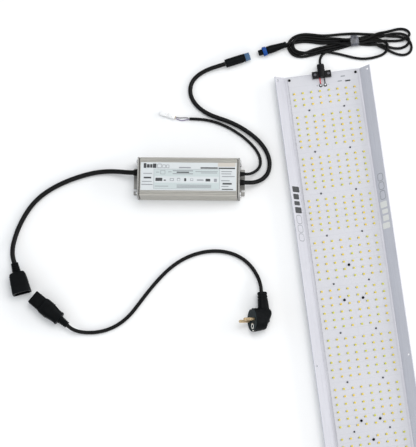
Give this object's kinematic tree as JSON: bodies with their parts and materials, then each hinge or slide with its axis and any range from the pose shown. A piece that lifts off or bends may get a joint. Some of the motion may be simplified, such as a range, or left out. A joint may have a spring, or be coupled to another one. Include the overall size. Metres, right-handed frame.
{
  "type": "led grow light",
  "caption": "Flat strip-shaped LED grow light on a bent aluminium sheet, with a separate potted driver, plug-in cords, a mains lead and a dimming lead.",
  "frame": {"origin": "middle of the panel's back face, on the surface it lies on", "axes": "+Y along the panel towards its cable end, +X across the panel to the right, +Z out of the LED face"},
  "size_m": [0.6991, 1.03, 0.0364],
  "materials": {
    "aluminium_sheet": "brushed, satin",
    "white_board": "white solder mask, satin",
    "black_plastic": "moulded, fine grain",
    "steel_hardware": "plated",
    "solder": "tinned",
    "red_insulation": "satin",
    "black_insulation": "satin",
    "cord_jacket": "matt",
    "tape": "clear, wrinkled",
    "contact_brass": "nickel over brass, worn",
    "blue_plastic": "satin",
    "steel_blue_plastic": "satin",
    "driver_extrusion": "extruded, satin",
    "driver_label": "printed film",
    "driver_end_metal": "plated, satin",
    "gasket_rubber": "matt",
    "circuit_board": "solder mask",
    "component_black": "satin",
    "thin_wire": "satin",
    "white_plastic": "moulded",
    "inlet_pin": "plated"
  },
  "bodies": {
    "panel": {"heat_sink_tray": "aluminium_sheet", "led_board": "white_board", "cable_clamp": "black_plastic", "clamp_screw_left": "steel_hardware", "clamp_screw_right": "steel_hardware", "wire_red": "red_insulation", "wire_black": "black_insulation", "solder_joint_red": "solder", "solder_joint_black": "solder", "panel_cord_out": "cord_jacket", "panel_cord_hank": "cord_jacket", "hank_tie": "tape", "panel_cord_tail": "cord_jacket", "male_connector_body": "black_plastic", "male_connector_nose": "black_plastic", "male_contact_pin_lower": "contact_brass", "male_contact_pin_upper": "contact_brass"},
    "lock_ring": {"lock_ring": "blue_plastic"},
    "driver_unit": {"driver_housing": "driver_extrusion", "driver_label": "driver_label", "end_cap_input": "driver_end_metal", "end_cap_output": "driver_end_metal", "gasket_input": "gasket_rubber", "gasket_output": "gasket_rubber", "cap_screw_input_1": "steel_hardware", "cap_screw_input_2": "steel_hardware", "cap_screw_input_3": "steel_hardware", "cap_screw_input_4": "steel_hardware", "cap_screw_output_1": "steel_hardware", "cap_screw_output_2": "steel_hardware", "cap_screw_output_3": "steel_hardware", "cap_screw_output_4": "steel_hardware", "driver_circuit_board": "circuit_board", "driver_transformer": "component_black", "driver_capacitor": "component_black", "input_grommet": "gasket_rubber", "output_grommet": "gasket_rubber", "dim_grommet": "gasket_rubber", "input_cord": "cord_jacket", "output_cord": "cord_jacket", "dim_cord": "cord_jacket", "dim_wire_minus": "thin_wire", "dim_wire_plus": "thin_wire", "dim_connector_socket": "white_plastic", "dim_connector_cap": "white_plastic", "female_connector_body": "black_plastic", "female_connector_sleeve": "steel_blue_plastic", "female_connector_insert": "black_plastic", "c14_plug_body": "black_plastic", "c14_pin_line": "inlet_pin", "c14_pin_neutral": "inlet_pin", "c14_pin_earth": "inlet_pin"},
    "mains_lead": {"c13_connector_body": "black_plastic", "mains_cord": "cord_jacket", "wall_plug_body": "black_plastic", "wall_plug_pin_lower": "contact_brass", "wall_plug_pin_upper": "contact_brass", "earth_clip_far": "contact_brass", "earth_clip_near": "contact_brass"}
  },
  "joints": [
    {"name": "lock_ring_turn", "type": "hinge", "parent": "panel", "child": "lock_ring", "pos_m": [-0.08794, 0.52756, 0.0077], "axis": [0.9833, 0.1822, 0], "continuous": true},
    {"name": "dc_connector_slide", "type": "slide", "parent": "panel", "child": "driver_unit", "axis": [0.9833, 0.1822, 0], "range_m": [0, 0.027]},
    {"name": "mains_lead_slide", "type": "slide", "parent": "driver_unit", "child": "mains_lead", "axis": [0.6833, -0.7302, 0], "range_m": [0, 0.03]}
  ]
}
